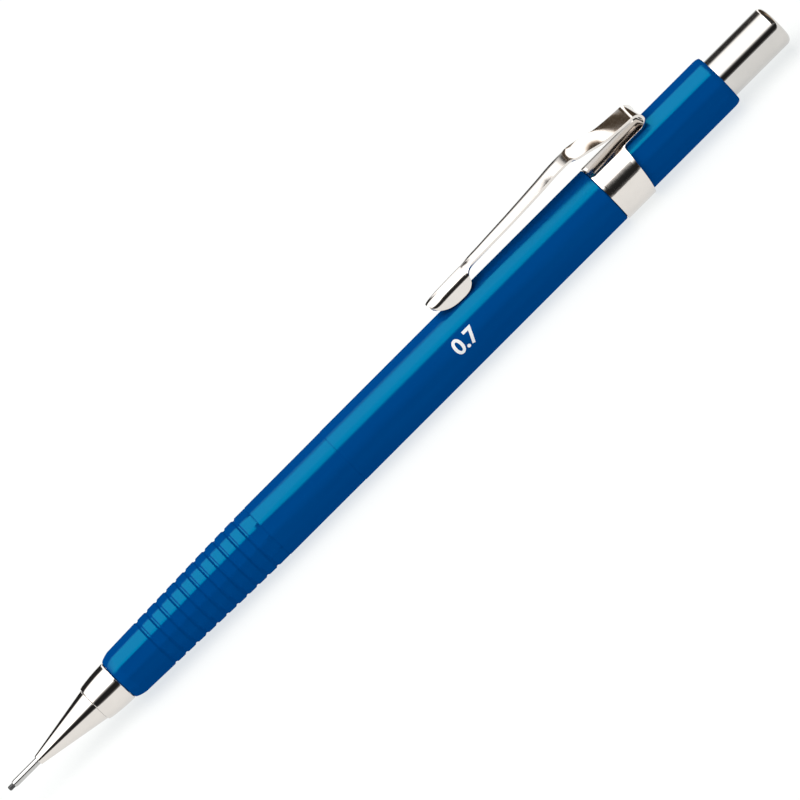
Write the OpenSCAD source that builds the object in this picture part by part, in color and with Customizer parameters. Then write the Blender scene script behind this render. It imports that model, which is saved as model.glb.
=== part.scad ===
// Twelve-sided push-button mechanical pencil with a grooved grip, a chrome tip,
// a folded sheet-metal pocket clip and a push cap over an eraser.
// Every piece inside and outside is a solid of its own and can be exported by name.
// Along the pencil, u is the distance from the front end of the lead sleeve.

/* [Overall] */

// Length from the front end of the lead sleeve to the end of the push cap
total_len = 142.7; // [139.7:0.5:147.7]
// Diameter of the lead
lead_d = 0.7; // [0.5:0.2:0.9]

/* [Barrel] */

// Width of the main barrel across its corners
barrel_w = 9.06; // [8.9:0.02:9.4]
// Width of the upper barrel, behind the clip band, across its corners
upper_w = 8.32; // [8.2:0.02:8.4]
// Width of the grip across its corners at its front end
grip_w = 7.52; // [7.3:0.02:7.9]

/* [Grip grooves] */

// Number of ring grooves in the grip
grooves = 11; // [0:1:11]
// Distance between grooves
groove_pitch = 1.853; // [1.2:0.05:1.9]
// Depth of each groove
groove_depth = 0.18; // [0.1:0.02:0.26]
// Width of each groove at the surface
groove_w = 0.62; // [0.5:0.02:0.8]

/* [Tip] */

// Length of lead sleeve standing out of the cone
sleeve_len = 4.5; // [4:0.1:5]
// Radius of the cone where it meets the collar
cone_r = 2.6; // [2.5:0.02:2.7]

/* [Clip] */

// Width of the clip at the bend
clip_root_w = 4.9; // [4.5:0.1:5.1]
// Width of the clip's folded end
clip_end_w = 3; // [2.9:0.05:3.2]
// Thickness of the clip's sheet
clip_t = 0.38; // [0.34:0.02:0.4]

/* [Push cap and eraser] */

// Diameter of the push cap
cap_w = 6.26; // [6.1:0.02:6.3]
// How far the eraser stands out of its ferrule
eraser_out = 6; // [3:0.5:7]
// Wall thickness at the end of the cap
cap_end_t = 0.6; // [0.5:0.1:1]

/* [Hidden] */

$fn = 96;
gap = 0.02;

// Stations along the pencil
cone_u = sleeve_len;
collar_u = 15.08;
barrel_u = 19.62;
grip_end_u = 45.4;
ring1_u = 47.4;
ring2_u = 61.5;
band_u = 110.66;
upper_u = 110.6;
barrel_end_u = total_len - 10.6;
cap_end_u = total_len;
lead_out = 0.9;

// Radii
facets = 12;
turn = 180 / facets;
barrel_r = barrel_w / 2;
upper_r = upper_w / 2;
grip_r = grip_w / 2;
band_r = 4.65;
band_in_r = 4.22;
lead_r = lead_d / 2;
run_r = lead_r + 0.03;
jaw_run_r = lead_r + 0.02;
sleeve_r = lead_r + 0.17;
sleeve_in_r = lead_r + 0.37;
cap_r = cap_w / 2;
cap_skirt_r = cap_r - 0.18;
cap_bore_r = 3.2;
tube_r = 1.95;
tube_in_r = 1.55;
ring_r = 1.85;

// Where the pencil lies in its own frame
mid_u = (total_len - lead_out) / 2;
axis_h = band_r;

// Grip grooves, centred on the ridged length
groove_mid_u = 35.955;
groove_u0 = groove_mid_u - (grooves - 1) * groove_pitch / 2;

function lerp(a, b, t) = a + (b - a) * t;
function rev(v) = [for (i = [len(v) - 1:-1:0]) v[i]];

// Corner radius of the grip's straight taper at station u
function grip_corner(u) = u < 39.2
    ? lerp(grip_r, barrel_r - 0.24, (u - 20.8) / 18.4)
    : lerp(barrel_r - 0.24, barrel_r - 0.12, (u - 39.2) / (grip_end_u - 39.2));

// Outline of the barrel: [corner radius, station]
barrel_outline = concat(
    [[0, barrel_u], [3.16, barrel_u], [3.4, barrel_u + 0.25], [grip_r - 0.21, barrel_u + 0.58],
     [grip_r - 0.07, barrel_u + 1], [grip_corner(barrel_u + 1.5), barrel_u + 1.5]],
    [for (k = [0:1:grooves - 1]) let (c = groove_u0 + k * groove_pitch)
        each [[grip_corner(c - groove_w / 2), c - groove_w / 2],
              [grip_corner(c) - groove_depth, c - groove_w / 5],
              [grip_corner(c) - groove_depth, c + groove_w / 5],
              [grip_corner(c + groove_w / 2), c + groove_w / 2]]],
    [[barrel_r - 0.12, grip_end_u + 0.9], [barrel_r - 0.11, ring1_u],
     [barrel_r - 0.075, ring1_u + 0.05], [barrel_r - 0.035, ring2_u],
     [barrel_r, ring2_u + 0.05], [barrel_r, upper_u - 0.12],
     [barrel_r - 0.12, upper_u], [upper_r, upper_u],
     [upper_r, barrel_end_u - 1], [upper_r - 0.08, barrel_end_u - 0.5],
     [upper_r - 0.3, barrel_end_u], [0, barrel_end_u]]);

// Puts a shape drawn along its own Z axis onto the pencil's axis
module on_axis(u = 0)
    translate([u - mid_u, 0, axis_h]) rotate([0, 90, 0]) children();

// A solid of revolution from [radius, station] points
module turned(points)
    on_axis() rotate_extrude() polygon(points);

// A straight bore or pin between two stations
module rod(r, u0, u1)
    on_axis(u0) cylinder(r = r, h = u1 - u0);

// A tube between two stations
module pipe(r, r_in, u0, u1)
    turned([[r_in, u0], [r, u0], [r, u1], [r_in, u1]]);

// ---------- Barrel ----------

module barrel() color([0.02, 0.34, 0.58])
    difference() {
        on_axis() rotate([0, 0, turn]) rotate_extrude($fn = facets) polygon(barrel_outline);
        rod(2.62, barrel_u - 1, 34.1);
        rod(2.4, 33, 120);
        rod(cap_bore_r, 114.5, barrel_end_u + 1);
        on_axis(barrel_end_u - 0.25) cylinder(r1 = cap_bore_r - 0.05, r2 = cap_bore_r + 0.3, h = 0.35);
    }

// ---------- Tip ----------

thread_n = 5;
thread_u = 16.4;
thread_pitch = 0.6;

// Threaded sleeve fixed in the barrel's front end: it carries the tip and seats the spring
module connector() color([0.07, 0.07, 0.08])
    turned(concat(
        [[1.9, 15.95], [2.12, 15.95]],
        [for (k = [0:thread_n - 1]) let (c = thread_u + k * thread_pitch)
            each [[2.12, c - 0.24], [2.32, c - 0.06], [2.32, c + 0.06], [2.12, c + 0.24]]],
        [[2.12, barrel_u + 0.03], [2.6, barrel_u + 0.03], [2.6, 34], [2.1, 34], [2.1, 20], [1.35, 20],
         [1.35, 19.3], [1.9, 19.3]]));

cone_slope = (cone_r - 0.72) / (collar_u - 0.03 - 4.5);

// Front cone: holds the lead sleeve and the lead retainer, and stops the chuck ring
module tip_cone() color([0.86, 0.86, 0.87])
    turned([[sleeve_r + gap / 2, cone_u], [0.66, cone_u], [0.72, cone_u + 0.08],
        [cone_r - 0.05, collar_u - 0.14], [cone_r - 0.06, collar_u - 0.03], [2.36, collar_u - 0.03],
        [2.36, 15.85], [1.75, 15.85], [1.75, 13.1], [1.35, 12.4], [1, 12.4], [1, 10],
        [sleeve_in_r + gap / 2, 10], [sleeve_in_r + gap / 2, cone_u + 1.9],
        [sleeve_r + 0.03 + gap / 2, cone_u + 1.9], [sleeve_r + gap / 2, cone_u + 0.12]]);

// Collar between the cone and the barrel, slightly convex
module tip_collar() color([0.8, 0.8, 0.82])
    turned([[2.38, collar_u], [cone_r + 0.08, collar_u], [cone_r + 0.2, collar_u + 0.1],
        [2.97, 16.2], [3.11, 17.5], [3.2, 18.7], [3.2, barrel_u - 0.2],
        [3.1, barrel_u - 0.05], [2.38, barrel_u - 0.05]]);

// Thin sleeve that guides the lead
module lead_sleeve() color([0.72, 0.72, 0.74])
    turned([[run_r, 0], [sleeve_r - 0.06, 0], [sleeve_r, 0.3], [sleeve_r, cone_u + 0.12],
        [sleeve_r + 0.03, cone_u + 1.9], [sleeve_in_r, cone_u + 1.9], [sleeve_in_r, 9.9],
        [run_r + 0.08, 9.9], [run_r, 9.5]]);

// Rubber ring that keeps the lead from sliding out
module lead_retainer() color([0.16, 0.16, 0.17])
    turned([[jaw_run_r, 10.6], [0.62, 10.05], [0.98, 10.05], [0.98, 12], [0.62, 12], [jaw_run_r, 11.4]]);

// ---------- Chuck ----------

jaw_root_u = 23.95;
jaw_span = 110;

// Tail of the brass chuck, pressed into the lead tube
module chuck() color([0.78, 0.62, 0.32])
    turned([[0.5, 24.05], [1.2, 24.05], [1.3, 24.15], [1.3, 27], [1.53, 27], [1.53, 29],
        [0.85, 29], [0.5, 28.2]]);

// One gripping jaw; k is its turn about the axis
module chuck_jaw(k)
    on_axis() rotate([0, 0, 120 * k - jaw_span / 2]) rotate_extrude(angle = jaw_span)
        polygon([[jaw_run_r, 15.7], [jaw_run_r + 0.08, 15.6], [1.05, 15.6], [1.4, 16.1],
            [1.4, 16.4], [1, 17], [1, jaw_root_u], [0.5, jaw_root_u], [0.5, 17.6], [jaw_run_r, 17.2]]);

module chuck_jaw_1() color([0.8, 0.64, 0.34]) chuck_jaw(0);
module chuck_jaw_2() color([0.8, 0.64, 0.34]) chuck_jaw(1);
module chuck_jaw_3() color([0.8, 0.64, 0.34]) chuck_jaw(2);

// Ring that closes the jaws when they are drawn back into it
module chuck_ring() color([0.74, 0.6, 0.36])
    turned([[1.42, 16.5], [ring_r - 0.12, 16.5], [ring_r, 16.62], [ring_r, 18.78],
        [ring_r - 0.12, 18.9], [1.15, 18.9], [1.15, 16.9]]);

// ---------- Return spring ----------

wire_r = 0.19;
coil_r = 1.74;
coil_u0 = 20.02 + wire_r;
coil_u1 = 26.98 - wire_r;
turns = 6.5;
per_turn = 14;
wire_fn = 6;
end_turns = 0.9;
end_pitch = 0.4;

// Station of the wire after t turns, with closed turns at both ends
function coil_u(t) =
    t < end_turns ? coil_u0 + end_pitch * t
    : t > turns - end_turns ? coil_u1 - end_pitch * (turns - t)
    : lerp(coil_u0 + end_pitch * end_turns, coil_u1 - end_pitch * end_turns,
        (t - end_turns) / (turns - 2 * end_turns));

module return_spring() color([0.7, 0.71, 0.73]) {
    n = turns * per_turn;
    points = [for (i = [0:n], j = [0:wire_fn - 1])
        let (a = 360 * i / per_turn, b = 360 * j / wire_fn, r = coil_r + wire_r * cos(b))
            [r * cos(a), r * sin(a), coil_u(i / per_turn) + wire_r * sin(b)]];
    walls = [for (i = [0:n - 1], j = [0:wire_fn - 1])
        let (a = i * wire_fn + j, b = i * wire_fn + (j + 1) % wire_fn)
            each [[a, b, b + wire_fn], [a, b + wire_fn, a + wire_fn]]];
    ends = [[for (j = [wire_fn - 1:-1:0]) j], [for (j = [0:wire_fn - 1]) n * wire_fn + j]];
    on_axis() polyhedron(points = points, faces = concat([for (f = walls) rev(f)], [for (f = ends) rev(f)]));
}

// ---------- Lead ----------

// Tube that stores spare leads and joins the chuck to the push cap
module lead_tube() color([0.9, 0.9, 0.88])
    turned([[tube_in_r, 27], [tube_r, 27], [tube_r, 121], [tube_in_r, 121]]);

module lead() color([0.2, 0.2, 0.2])
    turned([[0, -lead_out], [lead_r - 0.05, -lead_out], [lead_r, -lead_out + 0.12], [lead_r, 59.1], [0, 59.1]]);

module spare_leads() color([0.22, 0.22, 0.22])
    for (s = [-1, 1]) translate([0, s, 0]) rod(lead_r, 32, 92);

// ---------- Eraser and push cap ----------

ferrule_end_u = barrel_end_u - 1.1;
eraser_r = 2.25;

// Metal cup on the tube's rear end that holds the eraser and carries the cap
module eraser_ferrule() color([0.78, 0.78, 0.8])
    turned([[tube_r + gap, 118], [2.45, 118], [2.6, 118.3], [2.6, ferrule_end_u - 0.15], [2.5, ferrule_end_u],
        [2.32, ferrule_end_u], [2.32, 121.05], [tube_r + gap, 121.05]]);

module eraser() color([0.94, 0.94, 0.92])
    turned([[0.31, 121.2], [eraser_r, 121.2], [eraser_r, ferrule_end_u + eraser_out - 0.35],
        [eraser_r - 0.1, ferrule_end_u + eraser_out - 0.1], [eraser_r - 0.35, ferrule_end_u + eraser_out],
        [0, ferrule_end_u + eraser_out], [0, 124.3], [0.31, 124.3]]);

// Thin wire in the eraser's inner end, for clearing a jammed lead
module cleaning_pin() color([0.66, 0.67, 0.7])
    turned([[0, 107.8], [0.12, 107.8], [0.3, 108.3], [0.3, 124.2], [0, 124.2]]);

cap_skirt_u = barrel_end_u - 8.1;
cap_step_u = barrel_end_u - 0.1;

// Cup-shaped cap: its skirt slides in the barrel, and pressing its end works the chuck
module push_cap() color([0.88, 0.88, 0.89])
    turned(concat(
        [[2.65, cap_skirt_u], [cap_skirt_r - 0.06, cap_skirt_u], [cap_skirt_r, cap_skirt_u + 0.1],
         [cap_skirt_r, cap_step_u - 0.1], [cap_r, cap_step_u]],
        [for (a = [0:15:90]) [cap_r - 0.9 + 0.9 * cos(a), cap_end_u - 0.9 + 0.9 * sin(a)]],
        [[0, cap_end_u], [0, cap_end_u - cap_end_t], [2.3, cap_end_u - cap_end_t],
         [2.65, cap_end_u - cap_end_t - 0.45]]));

// ---------- Clip ----------

// Middle line of the sheet, as [station, height over the axis], from the band to the free end
tongue_h = 4.435;
tongue_w = 2.26;
bend_r = 0.96;
bend_u = 119.94;
root_w = clip_root_w / 2;
end_w = clip_end_w / 2 - clip_t / 2;

// How many degrees an arch bends each side of its middle, from its half-width and its height
function arch(w, h) = 2 * atan(h / w);

// The arm: station, height, half-width, degrees of arch each side, depth of the wings under it
arm_shape = [
    [119.2, 6.38, root_w, arch(root_w, 0.24), 0.02],
    [118, 6.46, root_w + 0.02, arch(root_w, 0.24), 0.02],
    [116.6, 6.58, root_w + 0.02, arch(root_w, 0.24), 0.02],
    [115.3, 6.77, root_w + 0.02, arch(root_w, 0.24), 0.02],
    [114, 7.11, root_w + 0.02, arch(root_w, 0.24), 0.02],
    [112.9, 7.41, root_w, arch(root_w, 0.24), 0.02],
    [112, 7.61, root_w - 0.03, arch(root_w, 0.24), 0.02],
    [111.3, 7.74, root_w - 0.1, arch(root_w, 0.24), 0.02],
    [110.9, 7.81, root_w - 0.28, arch(root_w, 0.22), 0.02],
    [110.5, 7.87, 1.9, arch(1.9, 0.19), 0.02],
    [110.1, 7.91, 1.74, arch(1.7, 0.16), 0.02],
    [109.3, 7.96, 1.7, arch(1.7, 0.16), 0.02],
    [108, 7.93, 1.67, arch(1.7, 0.16), 0.02],
    [105.3, 7.72, 1.61, arch(1.6, 0.15), 0.02],
    [102, 7.51, 1.52, arch(1.5, 0.14), 0.02],
    [98.7, 7.33, 1.42, arch(1.4, 0.13), 0.02],
    [95.5, 7.21, 1.28, arch(1.3, 0.12), 0.02],
    [93.2, 7.14, 1.18, arch(1.2, 0.13), 0.02],
    [92, 7.13, 1.16, 14, 0.02],
    [91.4, 7.14, 1.17, 19, 0.02],
    [91, 7.16, 1.2, 29, 0.02],
    [90.65, 7.18, 1.23, 44, 0.02],
    [90.35, 7.195, end_w - 0.05, 66, 0.03],
    [90.1, 7.205, end_w - 0.02, 84, 0.2],
    [89.8, 7.205, end_w, 88, 0.62],
    [89.4, 7.205, end_w, 88, 0.98],
    [88.8, 7.2, end_w, 88, 1.26],
    [88, 7.19, end_w, 88, 1.37],
    [87, 7.17, end_w, 88, 1.34],
    [86, 7.14, end_w, 88, 1.2],
    [85.2, 7.1, end_w, 88, 0.93],
    [84.6, 7.06, end_w - 0.02, 88, 0.6],
    [84.1, 7.01, end_w - 0.08, 87, 0.3],
    [83.75, 6.95, end_w - 0.2, 84, 0.1],
    [83.55, 6.89, end_w - 0.34, 80, 0.04],
    [83.45, 6.84, end_w - 0.46, 76, 0.02]];

split_a = 3;
bend_end_a = 172;

// Stations of the sheet: [station, height, half-width, direction angle, degrees of arch, wing depth]
lower_path = concat(
    [for (u = [115.2, 116.4, 117.6, 118.8, 119.5]) [u, tongue_h, tongue_w, 0, -28, 0.02]],
    [for (a = [0:12:84]) [bend_u + bend_r * sin(a), tongue_h + bend_r * (1 - cos(a)),
        lerp(tongue_w, root_w, a / 180), a, -1 - 26 * cos(a), 0.02]],
    [[bend_u + bend_r * sin(90 - split_a), tongue_h + bend_r * (1 - cos(90 - split_a)),
        lerp(tongue_w, root_w, 0.48), 90 - split_a, -1, 0.02]]);

upper_path = concat(
    [for (a = [90 + split_a, 102, 114, 126, 138, 150, 162, bend_end_a]) [bend_u + bend_r * sin(a),
        tongue_h + bend_r * (1 - cos(a)), lerp(tongue_w, root_w, a / 180), a,
        1 + (arch(root_w, 0.24) - 1) * (a - 90 - split_a) / (90 - split_a), 0.02]],
    [for (i = [0:len(arm_shape) - 1]) let (
        p = arm_shape[max(i - 1, 0)], q = arm_shape[min(i + 1, len(arm_shape) - 1)], m = arm_shape[i])
        [m[0], m[1], m[2], i == 0 ? 173 : atan2(q[1] - p[1], q[0] - p[0]), m[3], m[4]]]);

// A sheet swept along a path: each cross-section is an arch whose edges may run on into wings
module sheet(path, t) {
    arc_n = 10;
    m = arc_n + 2;
    ring = 2 * (m + 1);
    points = [for (s = path, i = [0:ring - 1]) let (
        side = i <= m ? 1 : -1, k = i <= m ? i : ring - 1 - i,
        j = lerp(-1, 1, max(0, min(1, (k - 1) / arc_n))), a = s[4] * j, r = s[2] / sin(s[4]),
        wing = k == 0 || k == m ? s[5] : 0,
        y = r * sin(a) + sign(j) * wing * cos(a) - side * t / 2 * sin(a),
        off = r * (1 - cos(a)) + wing * sin(s[4]) + side * t / 2 * cos(a))
            [s[0] - off * sin(s[3]), y, s[1] + off * cos(s[3])]];
    n = len(path);
    walls = [for (i = [0:n - 2], j = [0:ring - 1])
        let (a = i * ring + j, b = i * ring + (j + 1) % ring)
            each [[a, b, b + ring], [a, b + ring, a + ring]]];
    caps = [for (k = [0:m - 1]) let (a = k, b = k + 1, c = ring - 2 - k, d = ring - 1 - k)
        each [[a, d, c], [a, c, b]]];
    far = (n - 1) * ring;
    translate([-mid_u, 0, axis_h]) polyhedron(points = points, faces = concat(
        walls, caps, [for (f = caps) [for (v = rev(f)) v + far]]));
}

// Ring of the clip around the upper barrel, with the tongue that leads into the bend
module clip_band() color([0.84, 0.84, 0.86])
    union() {
        difference() {
            rod(band_r, band_u, 117.4);
            rod(band_in_r, band_u - 1, 119);
            translate([116.12 - mid_u, 0, axis_h]) rotate([0, 7.1, 0]) translate([0, -10, -10]) cube([10, 20, 20]);
        }
        sheet(lower_path, clip_t - 0.04);
    }

// Sprung arm of the clip, ending in a half-round tip with two wings over the barrel
module clip_arm() color([0.84, 0.84, 0.86])
    sheet(upper_path, clip_t);

// ---------- Choosing what to draw ----------

barrel();
connector();
tip_cone();
tip_collar();
lead_sleeve();
lead_retainer();
chuck();
chuck_jaw_1();
chuck_jaw_2();
chuck_jaw_3();
chuck_ring();
return_spring();
lead_tube();
lead();
spare_leads();
eraser_ferrule();
eraser();
cleaning_pin();
push_cap();
clip_band();
clip_arm();
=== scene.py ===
import math

import bmesh
import bpy
from mathutils import Matrix, Vector


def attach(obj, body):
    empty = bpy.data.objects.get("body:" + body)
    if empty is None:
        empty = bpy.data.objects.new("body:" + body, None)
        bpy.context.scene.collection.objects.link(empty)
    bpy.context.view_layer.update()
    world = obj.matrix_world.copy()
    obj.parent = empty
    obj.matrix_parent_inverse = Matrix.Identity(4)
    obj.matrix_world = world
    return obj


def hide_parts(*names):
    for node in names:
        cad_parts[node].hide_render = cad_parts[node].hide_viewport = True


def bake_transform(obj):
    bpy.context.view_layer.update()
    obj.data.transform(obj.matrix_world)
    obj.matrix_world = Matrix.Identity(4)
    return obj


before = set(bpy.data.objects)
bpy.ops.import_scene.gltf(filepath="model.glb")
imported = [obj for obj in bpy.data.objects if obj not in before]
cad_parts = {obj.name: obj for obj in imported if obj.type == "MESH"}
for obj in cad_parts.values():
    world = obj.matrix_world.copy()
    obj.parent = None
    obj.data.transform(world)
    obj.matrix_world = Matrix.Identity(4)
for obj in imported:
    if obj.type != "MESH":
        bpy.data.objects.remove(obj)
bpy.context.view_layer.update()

# ---------------------------------------------------------------- frame
# Along the pencil, u is the distance in mm from the front end of the lead sleeve;
# h is the height in mm over the pencil's axis. Both are the CAD's own stations.
MM = 0.001
MID = 70.9
AXIS = 4.65


def P(u, y, h):
    return Vector(((u - MID) * MM, y * MM, (AXIS + h) * MM))


def link(name, verts, faces):
    me = bpy.data.meshes.new(name)
    me.from_pydata([tuple(v) for v in verts], [], faces)
    me.validate()
    ob = bpy.data.objects.new(name, me)
    bpy.context.scene.collection.objects.link(ob)
    bm = bmesh.new()
    bm.from_mesh(me)
    bmesh.ops.remove_doubles(bm, verts=bm.verts, dist=1e-8)
    bmesh.ops.recalc_face_normals(bm, faces=bm.faces)
    bm.to_mesh(me)
    bm.free()
    for p in me.polygons:
        p.use_smooth = True
    return ob


def weighted(ob, sharp=None):
    """Smooth shading in which the big faces stay flat and only the rounded edges turn."""
    if sharp is not None:
        bm = bmesh.new()
        bm.from_mesh(ob.data)
        for e in bm.edges:
            if len(e.link_faces) == 2 and e.calc_face_angle(0) > math.radians(sharp):
                e.smooth = False
        bm.to_mesh(ob.data)
        bm.free()
    m = ob.modifiers.new("weighted", "WEIGHTED_NORMAL")
    m.keep_sharp = True
    m.weight = 80
    return ob


def applied(ob):
    """The object's mesh with its modifiers in it."""
    bpy.context.view_layer.update()
    dg = bpy.context.evaluated_depsgraph_get()
    me = bpy.data.meshes.new_from_object(ob.evaluated_get(dg))
    ob.modifiers.clear()
    old = ob.data
    ob.data = me
    bpy.data.meshes.remove(old)
    for p in ob.data.polygons:
        p.use_smooth = True
    return ob


def fillet(points, radius, seg=3, turn=14, closed=True):
    """Rounds the corners of a profile of (r, u) points; points on the axis stay as they are."""
    n = len(points)
    out = []
    for i, p in enumerate(points):
        a, b = points[(i - 1) % n], points[(i + 1) % n]
        va, vb = Vector((a[0] - p[0], a[1] - p[1])), Vector((b[0] - p[0], b[1] - p[1]))
        r = p[2] if len(p) > 2 else radius
        if p[0] < 1e-6 or va.length < 1e-6 or vb.length < 1e-6 or r <= 0:
            out.append((p[0], p[1]))
            continue
        ang = va.angle(vb)
        if math.degrees(math.pi - ang) < turn:
            out.append((p[0], p[1]))
            continue
        cut = min(r / math.tan(ang / 2), 0.42 * va.length, 0.42 * vb.length)
        ta, tb = va.normalized() * cut, vb.normalized() * cut
        c = (va.normalized() + vb.normalized())
        c = c.normalized() * (cut / math.cos(ang / 2))
        rad = (ta - c).length
        a0, a1 = math.atan2(*(ta - c).yx), math.atan2(*(tb - c).yx)
        d = (a1 - a0 + math.pi) % (2 * math.pi) - math.pi
        for k in range(seg + 1):
            t = a0 + d * k / seg
            out.append((p[0] + c[0] + rad * math.cos(t), p[1] + c[1] + rad * math.sin(t)))
    return out


def lathe(name, profile, radius=0.05, seg=96, arc=None, turn=14):
    """A solid of revolution about the pencil's axis from a closed profile of (r, u)."""
    pts = fillet(profile, radius, turn=turn)
    verts, rings = [], []
    for r, u in pts:
        if r < 1e-6:
            rings.append([len(verts)])
            verts.append(P(u, 0, 0))
        else:
            ring = []
            for k in range(seg):
                t = 2 * math.pi * k / seg
                ring.append(len(verts))
                verts.append(P(u, r * math.sin(t), r * math.cos(t)))
            rings.append(ring)
    faces = []
    n = len(rings)
    for i in range(n):
        a, b = rings[i], rings[(i + 1) % n]
        if len(a) == 1 and len(b) == 1:
            continue
        for k in range(seg):
            q = (k + 1) % seg
            if len(a) == 1:
                faces.append((a[0], b[k], b[q]))
            elif len(b) == 1:
                faces.append((a[k], b[0], a[q]))
            else:
                faces.append((a[k], b[k], b[q], a[q]))
    return weighted(link(name, verts, faces))


# ---------------------------------------------------------------- materials
def new_mat(name):
    m = bpy.data.materials.new(name)
    m.use_nodes = True
    nt = m.node_tree
    nt.nodes.clear()
    out = nt.nodes.new("ShaderNodeOutputMaterial")
    bsdf = nt.nodes.new("ShaderNodeBsdfPrincipled")
    nt.links.new(bsdf.outputs["BSDF"], out.inputs["Surface"])
    return m, nt, bsdf


def node(nt, kind, **values):
    n = nt.nodes.new(kind)
    for k, v in values.items():
        if k.startswith("_"):
            setattr(n, k[1:], v)
        else:
            n.inputs[k.replace("__", " ")].default_value = v
    return n


def coords(nt, scale=(1, 1, 1)):
    tc = nt.nodes.new("ShaderNodeTexCoord")
    mp = node(nt, "ShaderNodeMapping")
    mp.inputs["Scale"].default_value = scale
    nt.links.new(tc.outputs["Object"], mp.inputs["Vector"])
    return mp.outputs["Vector"]


def noise(nt, vec, scale, detail=3.0, rough=0.5):
    n = node(nt, "ShaderNodeTexNoise", Scale=scale, Detail=detail, Roughness=rough)
    nt.links.new(vec, n.inputs["Vector"])
    return n.outputs["Fac"]


def span(nt, fac, lo, hi, a=0.3, b=0.7):
    r = nt.nodes.new("ShaderNodeMapRange")
    r.inputs["From Min"].default_value = a
    r.inputs["From Max"].default_value = b
    r.inputs["To Min"].default_value = lo
    r.inputs["To Max"].default_value = hi
    nt.links.new(fac, r.inputs["Value"])
    return r.outputs["Result"]


def mix(nt, fac, c0, c1):
    m = nt.nodes.new("ShaderNodeMix")
    m.data_type = "RGBA"
    m.inputs[6].default_value = (*c0, 1)
    m.inputs[7].default_value = (*c1, 1)
    nt.links.new(fac, m.inputs[0])
    return m.outputs[2]


def bump(nt, bsdf, height, dist, strength=1.0):
    b = node(nt, "ShaderNodeBump", Strength=strength, Distance=dist)
    nt.links.new(height, b.inputs["Height"])
    nt.links.new(b.outputs["Normal"], bsdf.inputs["Normal"])
    return b


def blue_plastic():
    m, nt, b = new_mat("blue_satin_plastic")
    v = coords(nt)
    long = coords(nt, (0.12, 1, 1))
    cloud = noise(nt, long, 420, 4, 0.55)
    c = mix(nt, span(nt, cloud, 0, 1), (0.0, 0.053, 0.225), (0.0, 0.059, 0.243))
    nt.links.new(c, b.inputs["Base Color"])
    nt.links.new(span(nt, noise(nt, v, 1500, 4, 0.6), 0.17, 0.22), b.inputs["Roughness"])
    b.inputs["IOR"].default_value = 1.42
    b.inputs["Specular Tint"].default_value = (0.0, 1.65, 2.05, 1)
    # painted shade on the gloss: the shine is turned down on sides that face down in the world and on sides seen at a
    # low angle, so only the upper front facets keep their highlight
    lw = nt.nodes.new("ShaderNodeLayerWeight")
    lw.inputs["Blend"].default_value = 0.5
    geo = nt.nodes.new("ShaderNodeNewGeometry")
    xyz = nt.nodes.new("ShaderNodeSeparateXYZ")
    nt.links.new(geo.outputs["Normal"], xyz.inputs[0])
    gloss_painted_shade_mask = nt.nodes.new("ShaderNodeMath")
    gloss_painted_shade_mask.operation = "MULTIPLY"
    nt.links.new(span(nt, lw.outputs["Facing"], 0.5, 0.0, 0.24, 0.36), gloss_painted_shade_mask.inputs[0])
    nt.links.new(span(nt, xyz.outputs["Z"], 0.0, 1.0, 0.50, 0.62), gloss_painted_shade_mask.inputs[1])
    nt.links.new(gloss_painted_shade_mask.outputs[0], b.inputs["Specular IOR Level"])
    return m


def chrome(name="bright_chrome", tint=(0.76, 0.715, 0.675), rough=(0.035, 0.065), brush=0.12):
    m, nt, b = new_mat(name)
    v = coords(nt)
    long = coords(nt, (0.05, 1, 1))
    fac = span(nt, noise(nt, v, 350, 4, 0.6), 0, 1)
    c = mix(nt, fac, tuple(t * 0.97 for t in tint), tuple(min(1, t * 1.02) for t in tint))
    nt.links.new(c, b.inputs["Base Color"])
    b.inputs["Metallic"].default_value = 1.0
    nt.links.new(span(nt, noise(nt, v, 900, 5, 0.65), rough[0], rough[1]), b.inputs["Roughness"])
    bump(nt, b, noise(nt, long, 5200, 3, 0.6), 0.0000012, brush)
    return m


def turned_metal(name, tint, rough=(0.2, 0.34), pitch=60000.0, depth=0.0000015):
    """Metal with the fine rings a lathe leaves, round the pencil's axis."""
    m, nt, b = new_mat(name)
    v = coords(nt)
    fac = span(nt, noise(nt, v, 700, 4, 0.6), 0, 1)
    nt.links.new(mix(nt, fac, tuple(t * 0.88 for t in tint), tint), b.inputs["Base Color"])
    b.inputs["Metallic"].default_value = 1.0
    nt.links.new(span(nt, noise(nt, v, 1800, 4, 0.6), rough[0], rough[1]), b.inputs["Roughness"])
    across = coords(nt, (1, 0.02, 0.02))
    bump(nt, b, noise(nt, across, pitch / 6, 2, 0.7), depth, 0.5)
    return m


def moulded(name, c0, c1, rough=(0.4, 0.55), grain=4000, depth=0.000006, alpha=None, sss=0.0):
    m, nt, b = new_mat(name)
    v = coords(nt)
    nt.links.new(mix(nt, span(nt, noise(nt, v, 600, 4, 0.6), 0, 1), c0, c1), b.inputs["Base Color"])
    nt.links.new(span(nt, noise(nt, v, 1500, 3, 0.5), rough[0], rough[1]), b.inputs["Roughness"])
    bump(nt, b, noise(nt, v, grain, 4, 0.6), depth, 0.5)
    if sss:
        b.inputs["Subsurface Weight"].default_value = sss
        b.inputs["Subsurface Radius"].default_value = (0.001, 0.0009, 0.0008)
        b.inputs["Subsurface Scale"].default_value = 1.0
    return m


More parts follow.
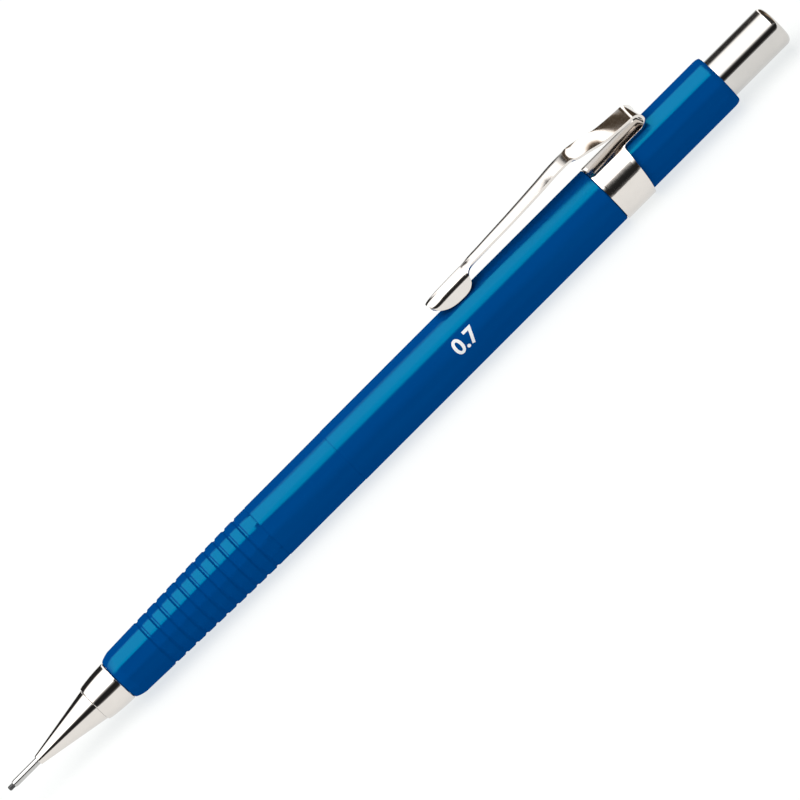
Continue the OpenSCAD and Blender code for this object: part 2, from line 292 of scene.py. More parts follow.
BLUE = blue_plastic()
CHROME = chrome()
# painted shade: the cap gets a darker copy of the same chrome, so its reflections look dimmer, as if it reflected
# shaded surroundings
SHADED_CAP_CHROME = chrome("cap_chrome_painted_shade", tint=(0.63, 0.605, 0.58))
CLIP_CHROME = chrome("bright_chrome_sheet", rough=(0.075, 0.105), brush=0.03)
SLEEVE = turned_metal("sleeve_steel", (0.56, 0.55, 0.54), (0.16, 0.26))
NICKEL = turned_metal("dull_nickel", (0.66, 0.65, 0.63), (0.22, 0.34))
BRASS = turned_metal("turned_brass", (0.78, 0.56, 0.24), (0.18, 0.32))
WIRE = turned_metal("spring_steel", (0.50, 0.50, 0.52), (0.2, 0.32))
BLACK = moulded("black_moulding", (0.012, 0.012, 0.013), (0.022, 0.022, 0.024), (0.38, 0.52))
RUBBER = moulded("dark_rubber", (0.016, 0.016, 0.017), (0.03, 0.03, 0.031), (0.6, 0.75))
MILKY = moulded("milky_tube", (0.70, 0.71, 0.69), (0.78, 0.78, 0.76), (0.3, 0.4), sss=0.2)
ERASER = moulded("white_eraser", (0.78, 0.77, 0.74), (0.86, 0.85, 0.82), (0.7, 0.85), grain=2500, depth=0.00001, sss=0.1)
GRAPHITE = moulded("graphite", (0.03, 0.03, 0.032), (0.055, 0.054, 0.055), (0.3, 0.45), grain=9000, depth=0.000003)
PRINT = moulded("white_print", (0.80, 0.82, 0.84), (0.88, 0.89, 0.90), (0.45, 0.6), grain=9000, depth=0.000001)


def dress(ob, mat, body, *nodes, slot=None):
    ob.data.materials.clear()
    ob.data.materials.append(mat)
    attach(ob, body)
    if nodes:
        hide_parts(*nodes)
    return ob


# ---------------------------------------------------------------- barrel
COLLAR_U, BARREL_U, GRIP_END = 15.08, 19.62, 45.4
RING1, RING2, BAND_U, UPPER_U = 47.4, 61.5, 110.66, 110.6
END_U, CAP_END = 132.1, 142.7
BARREL_R, UPPER_R, GRIP_R = 4.53, 4.16, 3.76
RHO_GRIP, RHO_MAIN, RHO_UPPER = 1.0, 2.4, 1.0      # how much each length's corners are rounded


def lerp(a, b, t):
    return a + (b - a) * t


def grip_corner(u):
    if u < 39.2:
        return lerp(GRIP_R, BARREL_R - 0.24, (u - 20.8) / 18.4)
    return lerp(BARREL_R - 0.24, BARREL_R - 0.12, (u - 39.2) / (GRIP_END - 39.2))


def facet_ring(u, corner, rho, seg=6):
    """One cross-section of the twelve-sided barrel, with its corners rounded by rho."""
    pts = []
    for k in range(12):
        a = math.radians(15 + 30 * k)
        c = corner - rho / math.cos(math.radians(15))
        for s in range(seg + 1):
            t = a + math.radians(-15 + 30 * s / seg)
            pts.append(P(u, c * math.sin(a) + rho * math.sin(t), c * math.cos(a) + rho * math.cos(t)))
    return pts


def round_ring(u, r, seg=6):
    pts = []
    for k in range(12):
        a = 15 + 30 * k
        for s in range(seg + 1):
            t = math.radians(a + lerp(-11.5, 11.5, s / seg))
            pts.append(P(u, r * math.sin(t), r * math.cos(t)))
    return pts


def barrel():
    rings = []

    def poly(u, r, rho=0.22):
        rings.append(facet_ring(u, r, rho))

    # nose: the facets run out into a rounded front edge
    for k in range(11):
        t = (k / 10) ** 1.5
        a = math.acos(1 - t)
        u = BARREL_U + 0.02 + 1.5 * t
        r = 3.18 + (grip_corner(BARREL_U + 1.5) - 3.18) * (0.45 * t + 0.55 * math.sin(a))
        poly(u, r, lerp(1.6, RHO_GRIP, t))
    # grip with its ring grooves
    pitch, depth, half = 1.853, 0.17, 0.30
    u0 = 35.955 - 5 * pitch
    for k in range(11):
        c = u0 + k * pitch
        for d, f in ((-half - 0.10, 0), (-half, 0.05), (-half * 0.72, 0.42), (-half * 0.45, 0.82), (-half * 0.15, 1.0),
                     (half * 0.15, 1.0), (half * 0.45, 0.82), (half * 0.72, 0.42), (half, 0.05), (half + 0.10, 0)):
            poly(c + d, grip_corner(c + d) - depth * f, RHO_GRIP)
    for u, r in ((GRIP_END + 0.9, BARREL_R - 0.12), (RING1 - 0.06, BARREL_R - 0.112), (RING1 - 0.02, BARREL_R - 0.15),
                 (RING1 + 0.06, BARREL_R - 0.15), (RING1 + 0.10, BARREL_R - 0.075), (RING1 + 0.16, BARREL_R - 0.07),
                 (54, BARREL_R - 0.05), (RING2 - 0.06, BARREL_R - 0.035), (RING2 - 0.02, BARREL_R - 0.065),
                 (RING2 + 0.05, BARREL_R - 0.065), (RING2 + 0.09, BARREL_R - 0.004), (RING2 + 0.15, BARREL_R),
                 (75, BARREL_R), (90, BARREL_R), (105, BARREL_R), (UPPER_U - 0.16, BARREL_R), (UPPER_U - 0.09, BARREL_R - 0.02),
                 (UPPER_U - 0.03, BARREL_R - 0.09), (UPPER_U, BARREL_R - 0.18), (UPPER_U, UPPER_R + 0.03),
                 (UPPER_U + 0.05, UPPER_R), (118, UPPER_R), (125, UPPER_R), (END_U - 1.05, UPPER_R)):
        poly(u, r, lerp(RHO_GRIP, RHO_MAIN, (u - GRIP_END) / 6) if u < 52 else RHO_MAIN if u < UPPER_U - 0.01 else RHO_UPPER)
    for k in range(1, 9):
        a = math.radians(90 * k / 8)
        poly(END_U - 1.0 + 1.0 * math.sin(a), UPPER_R - 0.32 * (1 - math.cos(a)), lerp(RHO_UPPER, 1.4, k / 8))
    # rear mouth, bores and front mouth
    for u, r in ((END_U, 3.52), (END_U - 0.03, 3.40), (END_U - 0.12, 3.30), (END_U - 0.25, 3.22), (END_U - 0.5, 3.2),
                 (114.55, 3.2), (114.5, 3.15), (114.5, 2.45), (114.45, 2.4), (34.2, 2.4), (34.1, 2.45), (34.1, 2.62),
                 (BARREL_U + 0.2, 2.62), (BARREL_U + 0.06, 2.66), (BARREL_U, 2.74), (BARREL_U, 3.05)):
        rings.append(round_ring(u, r))
    n = len(rings[0])
    verts = [v for r in rings for v in r]
    faces = []
    m = len(rings)
    for i in range(m):
        a, b = i * n, ((i + 1) % m) * n
        for k in range(n):
            q = (k + 1) % n
            faces.append((a + k, b + k, b + q, a + q))
    ob = link("barrel_shell", verts, faces)
    return weighted(ob, sharp=58)


dress(barrel(), BLUE, "barrel", "barrel", slot="blue_plastic")

# ---------------------------------------------------------------- turned pieces
R = 0.35
SLEEVE_R, SLEEVE_IN = 0.52, 0.72

dress(lathe("front_cone", [
    (SLEEVE_R + 0.01, 4.5, 0.02), (0.66, 4.5, 0.03), (0.73, 4.6, 0.05), (2.545, 14.93, 0.06), (2.535, 15.05, 0.02), (2.36, 15.05, 0.02),
    (2.36, 15.85), (1.75, 15.85), (1.75, 13.1), (1.35, 12.4), (1, 12.4), (1, 10), (SLEEVE_IN + 0.01, 10),
    (SLEEVE_IN + 0.01, 6.4), (SLEEVE_R + 0.04, 6.4), (SLEEVE_R + 0.01, 4.62)], 0.03, seg=128), CHROME, "tip", "tip_cone", slot="bright_chrome")

dress(lathe("front_collar", [
    (2.38, COLLAR_U), (2.70, COLLAR_U, 0.04), (2.79, COLLAR_U + 0.08, 0.06), (2.90, 15.6, 0.0), (3.0, 16.35, 0.0), (3.09, 17.2, 0.0),
    (3.15, 18.0, 0.0), (3.18, 18.8, 0.0), (3.20, BARREL_U - 0.16, 0.05), (3.12, BARREL_U - 0.05, 0.04), (2.38, BARREL_U - 0.05)],
    0.03, seg=128, turn=6), CHROME, "tip", "tip_collar", slot="bright_chrome")

dress(lathe("lead_guide", [
    (R + 0.03, 0, 0.01), (SLEEVE_R - 0.06, 0, 0.03), (SLEEVE_R, 0.3, 0.1), (SLEEVE_R, 4.62, 0), (SLEEVE_R + 0.03, 6.4, 0), (SLEEVE_IN, 6.4, 0.02),
    (SLEEVE_IN, 9.9), (R + 0.11, 9.9), (R + 0.03, 9.5)], 0.02, seg=64), SLEEVE, "tip", "lead_sleeve", slot="sleeve_steel")

dress(lathe("retainer_ring", [
    (R + 0.02, 10.6), (0.62, 10.05), (0.98, 10.05), (0.98, 12), (0.62, 12), (R + 0.02, 11.4)], 0.06, seg=64),
    RUBBER, "tip", "lead_retainer", slot="dark_rubber")

threads = []
for k in range(5):
    c = 16.4 + 0.6 * k
    threads += [(2.12, c - 0.24, 0.03), (2.32, c - 0.06, 0.04), (2.32, c + 0.06, 0.04), (2.12, c + 0.24, 0.03)]
dress(lathe("threaded_sleeve", [(1.9, 15.95), (2.12, 15.95)] + threads + [
    (2.12, 19.65), (2.6, 19.65), (2.6, 34), (2.1, 34), (2.1, 20), (1.35, 20), (1.35, 19.3), (1.9, 19.3)], 0.05),
    BLACK, "barrel", "connector", slot="black_plastic")

dress(lathe("chuck_tail", [
    (0.5, 24.05), (1.2, 24.05), (1.3, 24.15), (1.3, 27), (1.53, 27), (1.53, 29), (0.85, 29), (0.5, 28.2)], 0.04, seg=64),
    BRASS, "plunger", "chuck", slot="brass")

dress(lathe("closing_ring", [
    (1.42, 16.5), (1.73, 16.5), (1.85, 16.62), (1.85, 18.78), (1.73, 18.9), (1.15, 18.9), (1.15, 16.9)], 0.04, seg=64),
    BRASS, "chuck_ring", "chuck_ring", slot="brass")

dress(lathe("storage_tube", [(1.55, 27), (1.95, 27), (1.95, 121), (1.55, 121)], 0.06, seg=64),
      MILKY, "plunger", "lead_tube", slot="tube_plastic")

dress(lathe("lead_in_use", [(0, -0.9), (0.27, -0.9, 0.02), (R, -0.76, 0.05), (R, 59.1, 0.03), (0, 59.1)], 0.03, seg=48),
      GRAPHITE, "lead", "lead", slot="graphite")

dress(lathe("eraser_cup", [
    (1.97, 118), (2.45, 118), (2.6, 118.3), (2.6, 122.2, 0.08), (2.52, 122.35, 0.08), (2.52, 122.65, 0.08), (2.6, 122.8, 0.08),
    (2.6, 130.85), (2.5, 131), (2.32, 131), (2.32, 121.05), (1.97, 121.05)], 0.05, seg=96),
    NICKEL, "plunger", "eraser_ferrule", slot="nickel")

dress(lathe("eraser_stick", [
    (0.31, 121.2), (2.25, 121.2), (2.25, 136.6, 0.3), (1.9, 137, 0.3), (0, 136.97), (0, 124.3), (0.31, 124.3)], 0.08, seg=72),
    ERASER, "eraser", "eraser", slot="white_eraser")

dress(lathe("clearing_wire", [(0, 107.8), (0.12, 107.8), (0.3, 108.3), (0.3, 124.2), (0, 124.2)], 0.03, seg=32),
      WIRE, "eraser", "cleaning_pin", slot="spring_steel")

dress(lathe("cap_shell", [
    (2.65, 124), (2.89, 124), (2.95, 124.1), (2.95, 131.9, 0.02), (3.13, 132.0, 0.04)]
    + [(3.13 - 0.9 + 0.9 * math.cos(math.radians(a)), CAP_END - 0.9 + 0.9 * math.sin(math.radians(a)), 0) for a in range(0, 91, 9)]
    + [(0, CAP_END), (0, CAP_END - 0.6), (2.3, CAP_END - 0.6), (2.65, CAP_END - 1.05)], 0.04, seg=144, turn=20),
    SHADED_CAP_CHROME, "push_cap", "push_cap", slot="bright_chrome")

# ---------------------------------------------------------------- return spring
def spring():
    """Round wire in a coil; its ends sit on the barrel's seat and on the plunger."""
    wire, coil, turns, end_turns, end_pitch = 0.19, 1.74, 6.5, 0.9, 0.4
    lo, hi = 20.02 + wire, 26.98 - wire
    steps, ring = 32, 12

    def at(t):
        if t < end_turns:
            return lo + end_pitch * t
        if t > turns - end_turns:
            return hi - end_pitch * (turns - t)
        return lerp(lo + end_pitch * end_turns, hi - end_pitch * end_turns, (t - end_turns) / (turns - 2 * end_turns))

    n = int(turns * steps)
    verts = []
    for i in range(n + 1):
        t = i / steps
        a = 2 * math.pi * t
        taper = min(1.0, 0.35 + 0.65 * min(i, n - i) / 3.0)
        for j in range(ring):
            b = 2 * math.pi * j / ring
            r = coil + wire * taper * math.cos(b)
            # the coil turns the way the CAD's does: local x is down, local y is +Y
            verts.append(P(at(t) + wire * taper * math.sin(b), r * math.sin(a), -r * math.cos(a)))
    faces = []
    for i in range(n):
        for j in range(ring):
            q = (j + 1) % ring
            faces.append((i * ring + j, (i + 1) * ring + j, (i + 1) * ring + q, i * ring + q))
    faces.append(tuple(range(ring)))
    faces.append(tuple(n * ring + j for j in range(ring)))
    ob = link("coil_spring", verts, faces)
    ob.data.materials.append(WIRE)
    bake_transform(ob)
    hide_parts("return_spring")


spring()

# ---------------------------------------------------------------- clip: one folded sheet
T = 0.37
TONGUE_H, BEND_R, BEND_U, BEND_END = 4.435, 0.96, 119.94, 172
HALF = 2.24                        # half-width of the tongue, along its own curve
ROOT, END_W = 2.45, 1.31


def arch(w, h):
    return 2 * math.degrees(math.atan(h / w))


# the arm: station, height, half-width, degrees of arch each side, depth of the wings under it
ARM = [
    (119.2, 6.38, ROOT, arch(ROOT, 0.24), 0), (118, 6.46, ROOT + 0.02, arch(ROOT, 0.24), 0), (116.6, 6.58, ROOT + 0.02, arch(ROOT, 0.24), 0),
    (115.3, 6.77, ROOT + 0.02, arch(ROOT, 0.24), 0), (114, 7.11, ROOT + 0.02, arch(ROOT, 0.24), 0), (112.9, 7.41, ROOT, arch(ROOT, 0.24), 0),
    (112, 7.61, ROOT - 0.03, arch(ROOT, 0.24), 0), (111.3, 7.74, ROOT - 0.1, arch(ROOT, 0.24), 0), (110.9, 7.825, ROOT - 0.28, arch(ROOT, 0.22), 0),
    (110.5, 7.9, 1.9, arch(1.9, 0.19), 0), (110.1, 7.935, 1.74, arch(1.7, 0.16), 0), (109.3, 7.955, 1.7, arch(1.7, 0.16), 0),
    (108, 7.93, 1.67, arch(1.7, 0.16), 0), (105.3, 7.72, 1.61, arch(1.6, 0.15), 0), (102, 7.51, 1.52, arch(1.5, 0.14), 0),
    (98.7, 7.33, 1.42, arch(1.4, 0.13), 0), (95.5, 7.21, 1.28, arch(1.3, 0.12), 0), (93.2, 7.14, 1.18, arch(1.2, 0.13), 0),
    (92, 7.13, 1.16, 14, 0), (91.4, 7.14, 1.17, 19, 0), (91, 7.16, 1.2, 29, 0), (90.65, 7.18, 1.23, 44, 0), (90.35, 7.195, END_W - 0.05, 66, 0.01),
    (90.1, 7.205, END_W - 0.02, 84, 0.2), (89.8, 7.205, END_W, 88, 0.62), (89.4, 7.205, END_W, 88, 0.98), (88.8, 7.2, END_W, 88, 1.26),
    (88, 7.19, END_W, 88, 1.37), (87, 7.17, END_W, 88, 1.34), (86, 7.14, END_W, 88, 1.2), (85.2, 7.1, END_W, 88, 0.93),
    (84.6, 7.06, END_W - 0.02, 88, 0.6), (84.1, 7.01, END_W - 0.08, 87, 0.3), (83.75, 6.95, END_W - 0.2, 84, 0.1),
    (83.55, 6.89, END_W - 0.34, 80, 0.03), (83.45, 6.84, END_W - 0.46, 76, 0)]


def curve(points, u):
    """Smooth curve through the arm's stations, without overshoot."""
    pts = sorted(points)
    n = len(pts)
    u = min(max(u, pts[0][0]), pts[-1][0])
    for i in range(n - 1):
        if pts[i][0] <= u <= pts[i + 1][0]:
            break
    out = []
    x0, x1 = pts[i][0], pts[i + 1][0]
    d = x1 - x0
    t = (u - x0) / d
    for c in range(1, 5):
        def slope(k):
            if k <= 0 or k >= n - 1:
                return 0.0 if k <= 0 else (pts[-1][c] - pts[-2][c]) / (pts[-1][0] - pts[-2][0])
            a = (pts[k][c] - pts[k - 1][c]) / (pts[k][0] - pts[k - 1][0])
            b = (pts[k + 1][c] - pts[k][c]) / (pts[k + 1][0] - pts[k][0])
            return 0.0 if a * b <= 0 else 2 * a * b / (a + b)
        y0, y1, m0, m1 = pts[i][c], pts[i + 1][c], slope(i), slope(i + 1)
        out.append((2 * t**3 - 3 * t**2 + 1) * y0 + (t**3 - 2 * t**2 + t) * d * m0 + (-2 * t**3 + 3 * t**2) * y1 + (t**3 - t**2) * d * m1)
    return out


def clip():
    cols = 36                      # across the tongue and the arm
    js = [-1 + 2 * k / cols for k in range(cols + 1)]
    rm = 4.435                     # middle radius of the ring
    th0 = HALF / rm                # half-angle of the tongue
    fil = 0.56                     # fillet between tongue and ring
    cut_top, cut_tilt = 116.12, math.tan(math.radians(7.1))

    def rear(theta):
        return cut_top + rm * math.cos(theta) * cut_tilt

    # angles round the ring: tongue columns first, then fillets, then the rest
    tongue = [j * th0 for j in js]
    side = []
    for k in range(1, 9):
        side.append(th0 + fil / rm * (1 - math.cos(math.radians(90 * k / 8))))
    last = side[-1]
    rest_n = 72
    rest = [last + (2 * math.pi - 2 * last) * k / rest_n for k in range(1, rest_n)]
    order = tongue + side + rest + [2 * math.pi - s for s in reversed(side)]
    rows = 10
    verts, faces = [], []

    def ring_end(theta):
        a = min(theta % (2 * math.pi), 2 * math.pi - theta % (2 * math.pi))
        d = (a - th0) * rm
        if d <= 1e-9:
            return rear(th0) + fil
        if d < fil:
            return rear(a) + fil - math.sqrt(max(0.0, fil * fil - (fil - d) ** 2))
        return rear(a)

    grid = []
    for i in range(rows + 1):
        line = []
        for th in order:
            u = lerp(BAND_U, ring_end(th), i / rows)
            line.append(len(verts))
            verts.append(P(u, rm * math.sin(th), rm * math.cos(th)))
        grid.append(line)
    n = len(order)
    for i in range(rows):
        for k in range(n):
            q = (k + 1) % n
            faces.append((grid[i][k], grid[i + 1][k], grid[i + 1][q], grid[i][q]))

    # stations after the ring: (u, h, half-width, direction angle, degrees of arch, wing depth)
    th_deg = math.degrees(th0)
    tongue_w = rm * math.sin(th0)
    u1 = rear(th0) + fil
    path = []
    for k in range(1, 6):
        path.append((lerp(u1, BEND_U, k / 6), TONGUE_H, tongue_w, 0.0, -th_deg, 0.0))
    steps = 24
    for k in range(steps + 1):
        a = BEND_END * k / steps
        t = math.radians(a)
        f = (1 - math.cos(math.pi * k / steps)) / 2
        path.append((BEND_U + BEND_R * math.sin(t), TONGUE_H + BEND_R * (1 - math.cos(t)), lerp(tongue_w, ROOT, f), t,
                     lerp(-th_deg, arch(ROOT, 0.24), f), 0.0))
    us = [119.7, 119.2, 118.6, 118, 117.3, 116.6, 115.95, 115.3, 114.65, 114, 113.45, 112.9, 112.45, 112, 111.65, 111.3, 111.1, 110.9,
          110.7, 110.5, 110.3, 110.1, 109.8, 109.3, 108.7, 108, 107.1, 106.2, 105.3, 104.2, 103.1, 102, 100.9, 99.8, 98.7, 97.6, 96.5, 95.5,
          94.7, 93.9, 93.2, 92.6, 92.2]
    u = 92.0
    while u > 90.0:
        us.append(u)
        u -= 0.12
    us += [89.95, 89.8, 89.65, 89.5, 89.3, 89.1, 88.8, 88.5, 88.2, 87.8, 87.4, 87, 86.6, 86.2, 85.8, 85.5, 85.2, 84.95, 84.7, 84.5, 84.3,
           84.15, 84.0, 83.88, 83.78, 83.7, 83.63, 83.58, 83.53, 83.5, 83.47, 83.45]
    for u in us:
        h, w, b, wing = curve(ARM, u)
        h2 = curve(ARM, u - 0.05)[0]
        h1 = curve(ARM, u + 0.05)[0]
        if u > 119.2:
            # between the bend's end and the arm's first station
            k = (u - 119.2) / (BEND_U + BEND_R * math.sin(math.radians(BEND_END)) - 119.2)
            top = TONGUE_H + BEND_R * (1 - math.cos(math.radians(BEND_END)))
            h = lerp(6.38, top, k) + 0.006 * math.sin(math.pi * k)
            h1 = h2 = None
        ang = math.radians(173) if h1 is None else math.atan2(h2 - h1, -0.1 if 83.5 < u - 0.05 else -0.1)
        path.append((u, h, w, ang, b, wing))

    prev = [grid[-1][k] for k in range(cols + 1)]
    for (u, h, w, ang, deg, wing) in path:
        line = []
        nx, nz = -math.sin(ang), math.cos(ang)
        b = math.radians(deg if abs(deg) > 0.5 else math.copysign(0.5, deg))
        r = w / abs(math.sin(b))
        total = r * abs(b) + wing
        sg = 1.0 if b > 0 else -1.0
        for j in js:
            d = abs(j) * total
            if d <= r * abs(b):
                y, c = r * math.sin(d / r), r * (1 - math.cos(d / r))
            else:
                e = d - r * abs(b)
                y, c = w + e * math.cos(b), r * (1 - math.cos(b)) + e * abs(math.sin(b))
            c *= sg
            line.append(len(verts))
            verts.append(P(u + c * nx, math.copysign(y, j) if j else 0.0, h + c * nz))
        for k in range(cols):
            faces.append((prev[k], line[k], line[k + 1], prev[k + 1]))
        prev = line
    ob = link("folded_clip", verts, faces)
    so = ob.modifiers.new("thick", "SOLIDIFY")
    so.thickness = T * MM
    so.offset = 0
    so.use_even_offset = True
    so.use_quality_normals = True
    be = ob.modifiers.new("edge", "BEVEL")
    be.width = 0.07 * MM
    be.segments = 3
    be.limit_method = "ANGLE"
    be.angle_limit = math.radians(50)
    be.use_clamp_overlap = True
    be.harden_normals = False
    applied(ob)
    ob.data.materials.clear()
    ob.data.materials.append(CLIP_CHROME)
    # a start and an end point across the upper half of the bend; they are worked out here but nothing uses them
    d = Vector((-0.05, 0, 1.0)).normalized()
    s = P(BEND_U, 0, 5.22)
    e = s + d * (0.46 * MM)
    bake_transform(ob)
    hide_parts("clip_band", "clip_arm")
    weighted(ob)
    return ob


clip()

# ---------------------------------------------------------------- carried-over CAD pieces
for name, mat in (("chuck_jaw_1", BRASS), ("chuck_jaw_2", BRASS), ("chuck_jaw_3", BRASS), ("spare_leads", GRAPHITE)):
    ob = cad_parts[name]
    ob.data.materials.clear()
    ob.data.materials.append(mat)


# ---------------------------------------------------------------- print: lead size in plain numbers
def printed(text, u, size, bold, lift=0.15, body="barrel"):
    """Plain numbers laid round the corner below the upper front facet; lift is their middle's height over it."""
    cu = bpy.data.curves.new("print_mark", "FONT")
    cu.body = text
    cu.size = size * MM
    cu.offset = bold * MM
    cu.resolution_u = 6
    ob = bpy.data.objects.new("lead_size_mark", cu)
    bpy.context.scene.collection.objects.link(ob)
    bpy.context.view_layer.update()
    dg = bpy.context.evaluated_depsgraph_get()
    me = bpy.data.meshes.new_from_object(ob.evaluated_get(dg))
    bpy.data.objects.remove(ob)
    low = min(v.co.y for v in me.vertices)
    top = max(v.co.y for v in me.vertices)
    left = min(v.co.x for v in me.vertices)
    right = max(v.co.x for v in me.vertices)
    bm = bmesh.new()
    bm.from_mesh(me)
    for k in range(1, 24):
        y = low + (top - low) * k / 24
        bmesh.ops.bisect_plane(bm, geom=bm.verts[:] + bm.edges[:] + bm.faces[:], plane_co=(0, y, 0), plane_no=(0, 1, 0))
    rho = RHO_MAIN
    cen = BARREL_R - rho / math.cos(math.radians(15))
    lean = 0.02

    def lay(v, skin):
        x = v.co.x - (left + right) / 2 + lean * (v.co.y - (low + top) / 2)
        y = (v.co.y - (low + top) / 2) / MM + lift
        lim = rho * math.radians(15)
        a = math.radians(75) - max(-lim, min(lim, y)) / rho
        over = y - max(-lim, min(lim, y))
        sy = math.sin(math.radians(75)) * cen + math.sin(a) * (rho + skin)
        sz = math.cos(math.radians(75)) * cen + math.cos(a) * (rho + skin)
        # beyond the rounded corner the print runs straight on along the facet
        sy -= over * math.cos(a)
        sz += over * math.sin(a)
        return P(u, -sy, sz) + Vector((x, 0, 0))

    for v in bm.verts:
        v.co = lay(v, 0.006)
    for f in bm.faces:
        f.smooth = True
    bmesh.ops.recalc_face_normals(bm, faces=bm.faces)
    out = sum((f.normal.y * (f.calc_center_median().y) + f.normal.z * (f.calc_center_median().z - AXIS * MM)) for f in bm.faces)
    if out < 0:
        bmesh.ops.reverse_faces(bm, faces=bm.faces)
    bm.to_mesh(me)
    bm.free()
    ob = bpy.data.objects.new("lead_size_mark", me)
    bpy.context.scene.collection.objects.link(ob)
    return dress(ob, PRINT, body, slot="blue_plastic")


printed("0.7", 83.75, 3.1, 0.08)


# ---------------------------------------------------------------- floor, light, camera
def floor():
    s = 3.0
    me = bpy.data.meshes.new("floor")
    k = 8
    vs = [(lerp(-s, s, i / k), lerp(-s, s, j / k), -0.00002) for j in range(k + 1) for i in range(k + 1)]
    fs = [(j * (k + 1) + i, j * (k + 1) + i + 1, (j + 1) * (k + 1) + i + 1, (j + 1) * (k + 1) + i) for j in range(k) for i in range(k)]
    me.from_pydata(vs, [], fs)
    ob = bpy.data.objects.new("floor", me)
    bpy.context.scene.collection.objects.link(ob)
    m, nt, b = new_mat("pale_floor")
    v = coords(nt)
    nt.links.new(mix(nt, span(nt, noise(nt, v, 6, 2, 0.5), 0, 1), (0.235, 0.225, 0.212), (0.245, 0.235, 0.222)), b.inputs["Base Color"])
    # a lit table: part of its light is its own, so that shadows stay faint
    b.inputs["Emission Color"].default_value = (0.95, 0.985, 1.0, 1)
    b.inputs["Emission Strength"].default_value = 0.76
    b.inputs["Roughness"].default_value = 0.9
    b.inputs["Specular IOR Level"].default_value = 0.1
    me.materials.append(m)


floor()

scene = bpy.context.scene
world = bpy.data.worlds.new("studio")
scene.world = world
world.use_nodes = True
wn = world.node_tree
wn.nodes.clear()
wo = wn.nodes.new("ShaderNodeOutputWorld")
bg = wn.nodes.new("ShaderNodeBackground")
wn.links.new(bg.outputs[0], wo.inputs["Surface"])
tc = wn.nodes.new("ShaderNodeTexCoord")
sep = wn.nodes.new("ShaderNodeSeparateXYZ")
wn.links.new(tc.outputs["Generated"], sep.inputs[0])


def wmath(op, a, b=None, clamp=False):
    m = wn.nodes.new("ShaderNodeMath")
    m.operation = op
    m.use_clamp = clamp
    for i, v in enumerate((a, b)):
        if v is None:
            continue
        if isinstance(v, (int, float)):
            m.inputs[i].default_value = v
        else:
            wn.links.new(v, m.inputs[i])
    return m.outputs[0]


def wsmooth(value, a, b, lo=0.0, hi=1.0):
    r = wn.nodes.new("ShaderNodeMapRange")
    r.interpolation_type = "SMOOTHSTEP"
    r.inputs["From Min"].default_value = a
    r.inputs["From Max"].default_value = b
    r.inputs["To Min"].default_value = lo
    r.inputs["To Max"].default_value = hi
    wn.links.new(value, r.inputs["Value"])
    return r.outputs["Result"]


def wmix(fac, a, b):
    m = wn.nodes.new("ShaderNodeMix")
    m.data_type = "FLOAT"
    wn.links.new(fac, m.inputs[0])
    for i, v in ((2, a), (3, b)):
        if isinstance(v, (int, float)):
            m.inputs[i].default_value = v
        else:
            wn.links.new(v, m.inputs[i])
    return m.outputs[0]


# angle in the upright plane across the pencil: 0 at the front horizon, 90 overhead, 180 at the back horizon
front = wmath("MULTIPLY", sep.outputs["Y"], -1.0)
angle = wmath("MULTIPLY", wmath("ARCTAN2", wmath("MAXIMUM", sep.outputs["Z"], 0.0), front), 180 / math.pi)
ex = sep.outputs["X"]
WHITE, DARK = 1.62, 0.018


def profile(stops):
    """Radiance against the angle, from up to 32 stops."""
    ramp = wn.nodes.new("ShaderNodeValToRGB")
    wn.links.new(wmath("DIVIDE", angle, 180.0), ramp.inputs["Fac"])
    cr = ramp.color_ramp
    while len(cr.elements) < len(stops):
        cr.elements.new(0.5)
    for el, (deg, val) in zip(cr.elements, stops):
        el.position = deg / 180
        k = val / 2.0
        el.color = (k, k, k, 1)
    return wmath("MULTIPLY", ramp.outputs["Color"], 2.0)


def front_dark(a, b):
    """The dark strip low in front, between two angles, with the white above it."""
    return [(0, 0.35), (a - 4.5, 0.28), (a, 0.06), (a + 3, DARK), (b - 6, DARK), (b - 1, 0.10), (b + 3, 0.5), (b + 9, WHITE)]


tip_side = profile(front_dark(6, 34) + [(124, WHITE), (131, 0.08), (136, 0.02), (180, 0.02)])
middle = profile(front_dark(7, 46) + [(161, WHITE), (167, 0.1), (172, 0.04), (180, 0.03)])
band_side = profile([(0, 0.05), (3, DARK), (35, DARK), (40, 0.10), (44, 0.5), (50, WHITE)] + [(113, WHITE), (122, 0.95), (135, 0.85), (164, 0.85), (171, 0.2), (180, 0.15)])
cap_side = profile(front_dark(6, 29) + [(113, WHITE), (118, 0.9), (124, 0.22), (130, 0.03), (158, 0.03), (166, 0.2), (173, 0.45), (180, 0.45)])
base = wmix(wsmooth(ex, -0.054, -0.046), tip_side, middle)
base = wmix(wsmooth(ex, 0.030, 0.040), base, band_side)
base = wmix(wsmooth(ex, 0.052, 0.060), base, cap_side)
# past the cap's side the back of the room is pale again, with a brown strip in it
base = wmix(wmath("MULTIPLY", wsmooth(ex, 0.080, 0.087), wsmooth(angle, 46, 54)), base, WHITE)
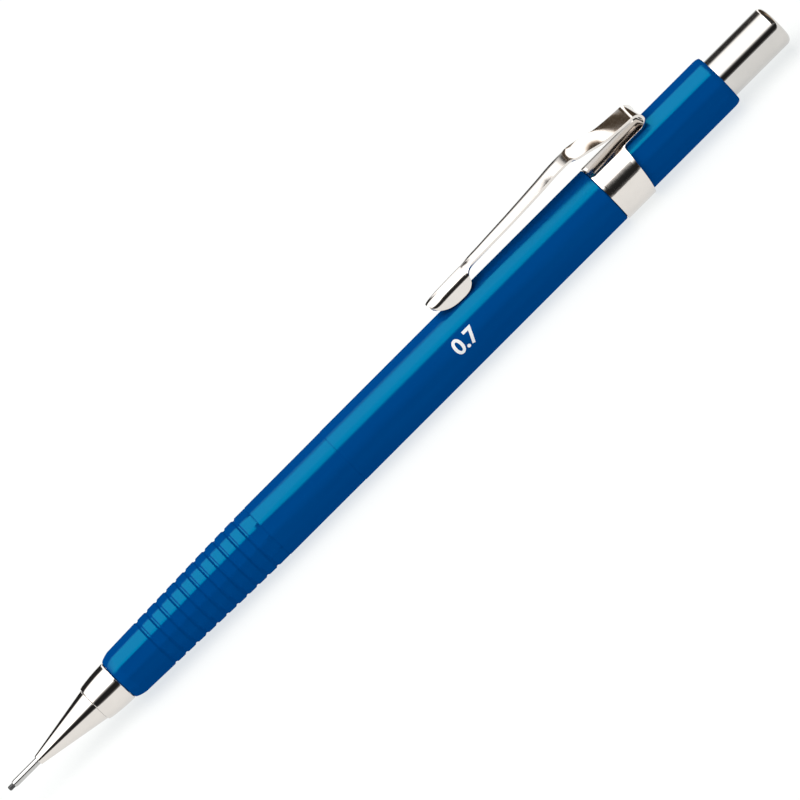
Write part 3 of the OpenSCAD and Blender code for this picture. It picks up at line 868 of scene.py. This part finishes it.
# the window overhead: seen as the light on the upper front side
lamp = wmath("MULTIPLY", wmath("MULTIPLY", wsmooth(angle, 38, 50), wsmooth(angle, 98, 104, 1.0, 0.0)), wsmooth(wmath("ABSOLUTE", ex), 0.5, 0.75, 1.0, 0.0))
base = wmath("ADD", base, wmath("MULTIPLY", lamp, 1.6))
behind = wsmooth(angle, 116, 126)
brown = wmath("MULTIPLY", wsmooth(ex, 0.080, 0.087), wsmooth(ex, 0.146, 0.160, 1.0, 0.0))
brown = wmath("MULTIPLY", brown, behind)
base = wmix(brown, base, 0.055)
# the ends of the room: dark past the window on the cap's side, and paler past the tip
right = wmath("MULTIPLY", wsmooth(ex, 0.28, 0.32), wsmooth(angle, 20, 40))
base = wmix(right, base, 0.05)
beige = wmath("MULTIPLY", wsmooth(ex, 0.66, 0.86), behind)
base = wmix(beige, base, 0.36)
base = wmath("MULTIPLY", base, wsmooth(ex, -0.95, -0.70, 0.3, 1.0))
wn.links.new(base, bg.inputs["Strength"])
warm = wn.nodes.new("ShaderNodeMix")
warm.data_type = "RGBA"
warm.inputs[6].default_value = (1.0, 0.995, 0.985, 1)
warm.inputs[7].default_value = (1.25, 0.92, 0.62, 1)
wn.links.new(wmath("MAXIMUM", wmath("MULTIPLY", right, behind), brown), warm.inputs[0])
wn.links.new(warm.outputs[2], bg.inputs["Color"])

v = Vector((0, -math.cos(math.radians(25.5)), math.sin(math.radians(25.5))))
bup = Vector((0, math.sin(math.radians(25.5)), math.cos(math.radians(25.5))))
xx = Vector((1, 0, 0))
c45 = math.cos(math.radians(45))
right, up = xx * c45 - bup * c45, xx * c45 + bup * c45
target = P(72.15, 0, 0) - bup * 0.00013
dist = 0.9
pos = target + v * dist
cam = bpy.data.cameras.new("cam")
cam.sensor_width = 36
cam.lens = 36 * dist / 0.10596
cam.clip_start = 0.01
cam.clip_end = 20
co = bpy.data.objects.new("cam", cam)
scene.collection.objects.link(co)
co.matrix_world = Matrix(((right.x, up.x, v.x, pos.x), (right.y, up.y, v.y, pos.y), (right.z, up.z, v.z, pos.z), (0, 0, 0, 1)))
scene.camera = co
scene.view_settings.view_transform = "Standard"
scene.view_settings.look = "None"
scene.view_settings.exposure = 0.0
